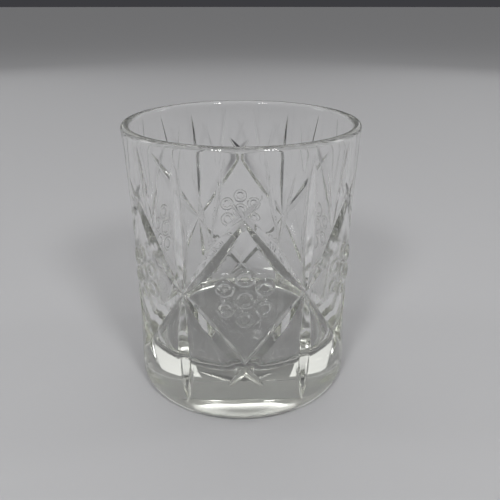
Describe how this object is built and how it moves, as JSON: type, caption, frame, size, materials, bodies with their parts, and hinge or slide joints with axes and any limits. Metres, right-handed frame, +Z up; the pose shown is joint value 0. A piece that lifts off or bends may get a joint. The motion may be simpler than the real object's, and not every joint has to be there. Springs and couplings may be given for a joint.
{
  "type": "whiskey tumbler",
  "caption": "Straight-sided pressed glass tumbler with a thick solid base, rounded rim, and mitre cuts framing diamonds that each hold a ring-rosette relief.",
  "frame": {"origin": "centre of the foot, on the plane the glass stands on", "axes": "+Z up through the centre of the mouth; the middle of one diamond and its medallion faces -Y; the pattern repeats every 60 degrees about Z"},
  "size_m": [0.0818, 0.0818, 0.098],
  "materials": {
    "clear_glass": "clear, fire-polished"
  },
  "bodies": {
    "root": {"tumbler_glass": "clear_glass"}
  },
  "joints": []
}
